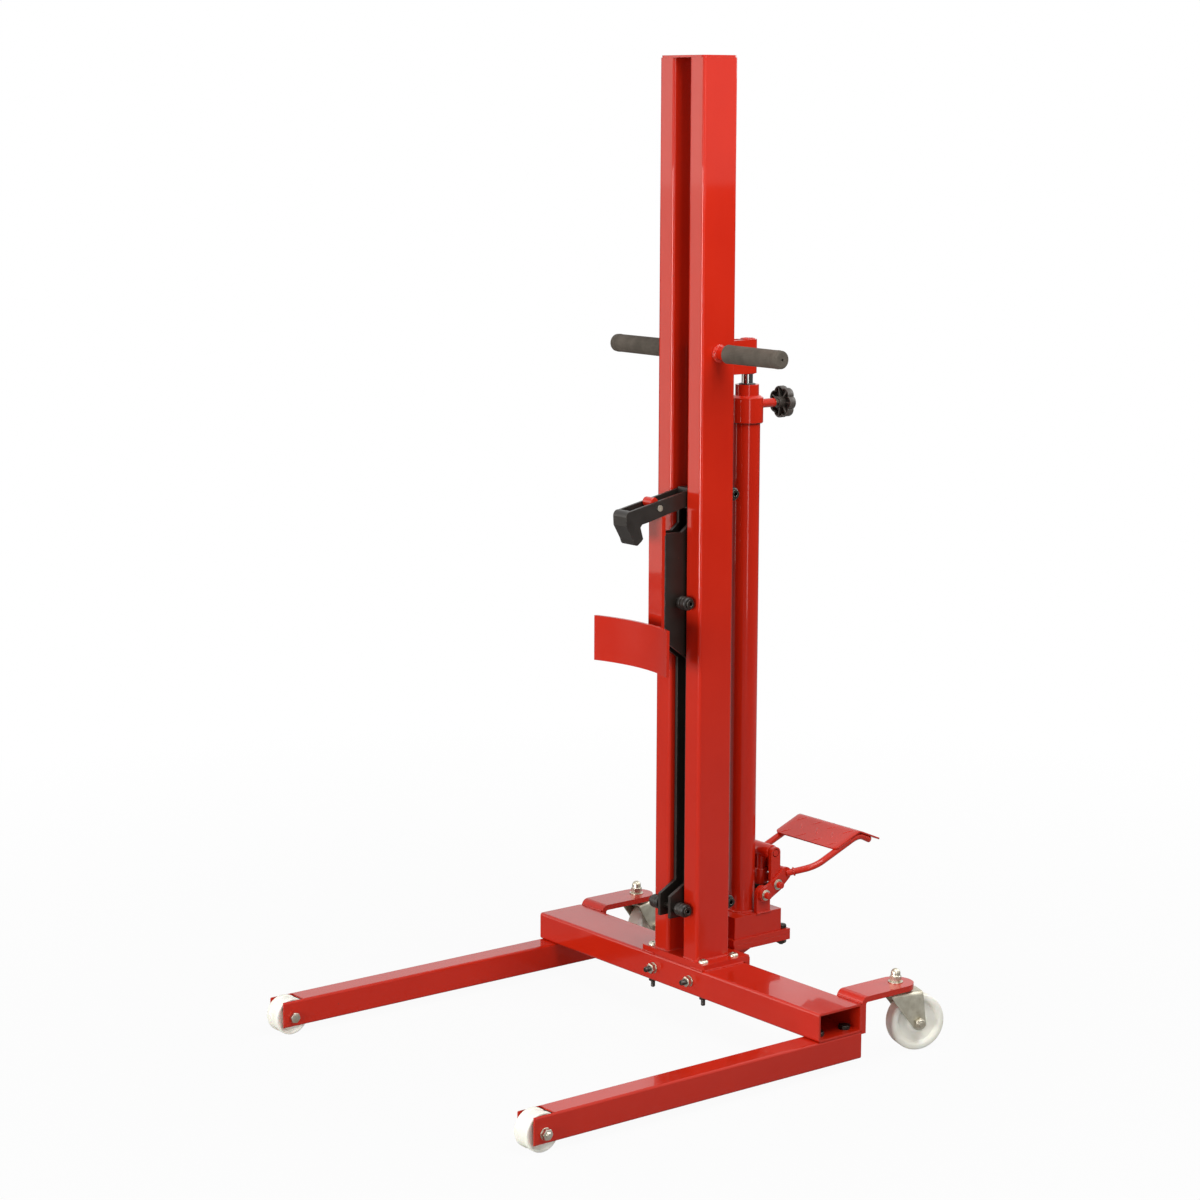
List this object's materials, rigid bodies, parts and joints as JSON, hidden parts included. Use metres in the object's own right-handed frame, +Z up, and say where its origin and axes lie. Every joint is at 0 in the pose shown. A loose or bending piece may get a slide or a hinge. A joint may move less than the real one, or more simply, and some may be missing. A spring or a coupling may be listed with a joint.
{
  "type": "drum trolley",
  "caption": "Wheeled hydraulic drum lifter: twin-post mast, foot pump and ram, sliding carriage with a beak that grips a drum's rim.",
  "frame": {"origin": "on the floor, under the middle of the trolley's bounding box", "axes": "+Z up, -Y towards the drum between the legs, so the operator and the pedal are at +Y; right is +X and left is -X"},
  "size_m": [0.8, 1.0444, 1.71],
  "materials": {
    "red_paint": "glossy paint",
    "black_paint": "satin paint",
    "zinc": "zinc plated",
    "chrome": "polished",
    "nylon": "cream nylon",
    "rubber": "matte rubber",
    "black_plastic": "moulded",
    "seal": "matte"
  },
  "bodies": {
    "frame": {"crossbeam": "red_paint", "leg_left": "red_paint", "leg_right": "red_paint", "leg_bolts": "zinc", "mast_post_left": "red_paint", "mast_post_right": "red_paint", "mast_cap": "red_paint", "mast_foot": "red_paint", "foot_bolts": "zinc", "pump_shelf": "red_paint", "shelf_bolts": "zinc", "pump_plate": "red_paint", "plate_bolts": "zinc", "handle_bars": "red_paint", "grip_left": "rubber", "grip_right": "rubber", "pump_base": "red_paint", "cylinder_tube": "red_paint", "cylinder_head": "red_paint", "gland_collar": "red_paint", "rod_seals": "seal", "pump_barrel": "red_paint", "roller_axles": "zinc", "caster_bracket_left": "red_paint", "caster_bracket_right": "red_paint", "king_bolts": "zinc"},
    "front_roller_left": {"front_roller_left": "nylon"},
    "front_roller_right": {"front_roller_right": "nylon"},
    "caster_swivel_left": {"caster_fork_left": "zinc", "caster_axle_left": "zinc"},
    "caster_swivel_right": {"caster_fork_right": "zinc", "caster_axle_right": "zinc"},
    "caster_wheel_left": {"caster_wheel_left": "nylon"},
    "caster_wheel_right": {"caster_wheel_right": "nylon"},
    "carriage": {"slide_beam": "black_paint", "carriage_cheeks": "black_paint", "guide_axles": "black_paint", "backrest": "red_paint", "yoke": "red_paint", "ram": "chrome", "piston": "seal", "beak_pin": "zinc"},
    "guide_rollers_back_top": {"guide_rollers_back_top": "black_paint"},
    "guide_rollers_front_top": {"guide_rollers_front_top": "black_paint"},
    "guide_rollers_back_low": {"guide_rollers_back_low": "black_paint"},
    "guide_rollers_front_low": {"guide_rollers_front_low": "black_paint"},
    "beak": {"beak_arm": "black_paint", "catch_pin": "zinc"},
    "catch": {"catch_lever": "red_paint"},
    "release_valve": {"release_knob": "black_plastic", "valve_spindle": "zinc"},
    "pedal": {"lever_plates": "red_paint", "pedal_arms": "red_paint", "treadle": "red_paint", "pivot_bolts": "zinc"},
    "links": {"side_links": "red_paint"},
    "pump_rod": {"plunger": "red_paint", "crosshead": "red_paint", "crosshead_pin": "zinc"}
  },
  "joints": [
    {"name": "front_roller_left_spin", "type": "hinge", "parent": "frame", "child": "front_roller_left", "pos_m": [-0.3655, -0.48966, 0.0325], "axis": [1, 0, 0], "continuous": true},
    {"name": "front_roller_right_spin", "type": "hinge", "parent": "frame", "child": "front_roller_right", "pos_m": [0.3655, -0.48966, 0.0325], "axis": [1, 0, 0], "continuous": true},
    {"name": "caster_left_swivel", "type": "hinge", "parent": "frame", "child": "caster_swivel_left", "pos_m": [-0.3565, 0.29634, 0.1037], "axis": [0, 0, 1], "continuous": true},
    {"name": "caster_left_spin", "type": "hinge", "parent": "caster_swivel_left", "child": "caster_wheel_left", "pos_m": [-0.3631, 0.33376, 0.05], "axis": [0.9848, 0.1736, 0], "continuous": true},
    {"name": "caster_right_swivel", "type": "hinge", "parent": "frame", "child": "caster_swivel_right", "pos_m": [0.3565, 0.29634, 0.1037], "axis": [0, 0, 1], "continuous": true},
    {"name": "caster_right_spin", "type": "hinge", "parent": "caster_swivel_right", "child": "caster_wheel_right", "pos_m": [0.36887, 0.33226, 0.05], "axis": [0.9455, -0.3256, 0], "continuous": true},
    {"name": "lift", "type": "slide", "parent": "frame", "child": "carriage", "axis": [0, 0, 1], "range_m": [0, 0.46]},
    {"name": "guide_back_top_spin", "type": "hinge", "parent": "carriage", "child": "guide_rollers_back_top", "pos_m": [0, 0.18464, 0.95], "axis": [1, 0, 0], "continuous": true},
    {"name": "guide_front_top_spin", "type": "hinge", "parent": "carriage", "child": "guide_rollers_front_top", "pos_m": [0, 0.08404, 0.765], "axis": [1, 0, 0], "continuous": true},
    {"name": "guide_back_low_spin", "type": "hinge", "parent": "carriage", "child": "guide_rollers_back_low", "pos_m": [0, 0.18464, 0.214], "axis": [1, 0, 0], "continuous": true},
    {"name": "guide_front_low_spin", "type": "hinge", "parent": "carriage", "child": "guide_rollers_front_low", "pos_m": [0, 0.08404, 0.214], "axis": [1, 0, 0], "continuous": true},
    {"name": "beak_tilt", "type": "hinge", "parent": "carriage", "child": "beak", "pos_m": [0, 0.11834, 0.95], "axis": [1, 0, 0], "range_deg": [-50, 0]},
    {"name": "catch_tilt", "type": "hinge", "parent": "beak", "child": "catch", "pos_m": [0, 0.03934, 0.934], "axis": [1, 0, 0], "range_deg": [-60, 0]},
    {"name": "release_turn", "type": "hinge", "parent": "frame", "child": "release_valve", "pos_m": [0, 0.31534, 1.1], "axis": [0, 1, 0], "range_deg": [0, 120]},
    {"name": "pedal_press", "type": "hinge", "parent": "frame", "child": "pedal", "pos_m": [0, 0.27034, 0.212], "axis": [1, 0, 0], "range_deg": [-35, 0], "stiffness_Nm_per_rad": 14, "springref_deg": 25.78},
    {"name": "link_swing", "type": "hinge", "parent": "pedal", "child": "links", "pos_m": [0, 0.29934, 0.227], "axis": [1, 0, 0], "range_deg": [0, 41]},
    {"name": "plunger_stroke", "type": "slide", "parent": "frame", "child": "pump_rod", "axis": [0, 0, 1], "range_m": [-0.0205, 0]}
  ],
  "couplings": [
    {"joint": "link_swing", "follows": "pedal_press", "ratio": -1.125},
    {"joint": "plunger_stroke", "follows": "pedal_press", "m_per_rad": 0.0314}
  ]
}
